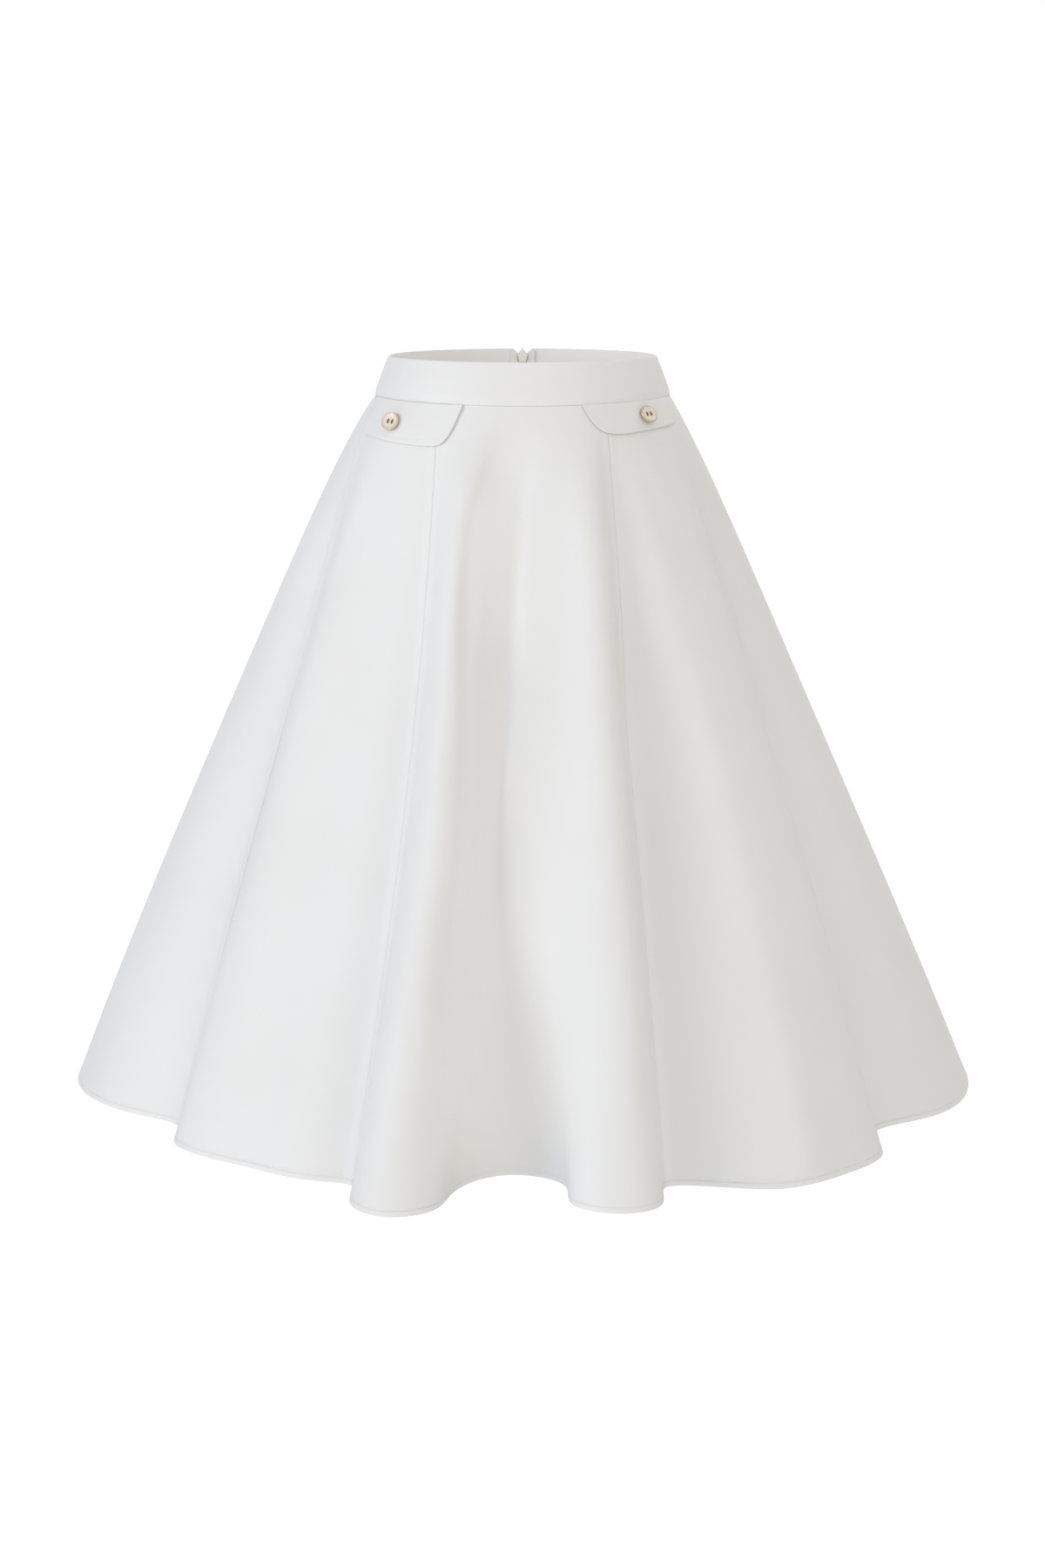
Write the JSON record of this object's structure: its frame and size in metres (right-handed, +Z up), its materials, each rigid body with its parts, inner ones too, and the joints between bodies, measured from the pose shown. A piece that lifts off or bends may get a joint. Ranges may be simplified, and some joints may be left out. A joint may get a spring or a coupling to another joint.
{
  "type": "midi skirt",
  "caption": "Flared ivory midi skirt filled out with no wearer: contoured waistband, panels falling in soft folds, buttoned pocket flaps and a concealed back zip.",
  "frame": {"origin": "centre of the waist opening, half way up the waistband", "axes": "+Z up out of the waist, the front of the skirt faces -Y, +X to the right of someone who looks at the front"},
  "size_m": [0.8838, 0.8108, 0.7133],
  "materials": {
    "cloth": "smooth satin weave with a soft sheen",
    "zip_tape": "plain woven tape",
    "button": "pearly, with a thin gold-coloured edge",
    "zip_enamel": "smooth ivory enamel"
  },
  "bodies": {
    "skirt": {"waistband_front": "cloth", "waistband_back_left": "cloth", "waistband_back_right": "cloth", "front_panel": "cloth", "side_front_left": "cloth", "side_front_right": "cloth", "back_left": "cloth", "back_right": "cloth", "pocket_flap_left": "cloth", "pocket_flap_right": "cloth", "button_left": "button", "button_right": "button", "zip_tape_left": "zip_tape", "zip_tape_right": "zip_tape", "zip_slider": "zip_enamel"},
    "pull_tab": {"zip_pull_tab": "zip_enamel"}
  },
  "joints": [
    {"name": "pull_tab_hinge", "type": "hinge", "parent": "skirt", "child": "pull_tab", "pos_m": [0, 0.09948, 0.01641], "axis": [1, 0, 0], "range_deg": [0, 150]}
  ]
}
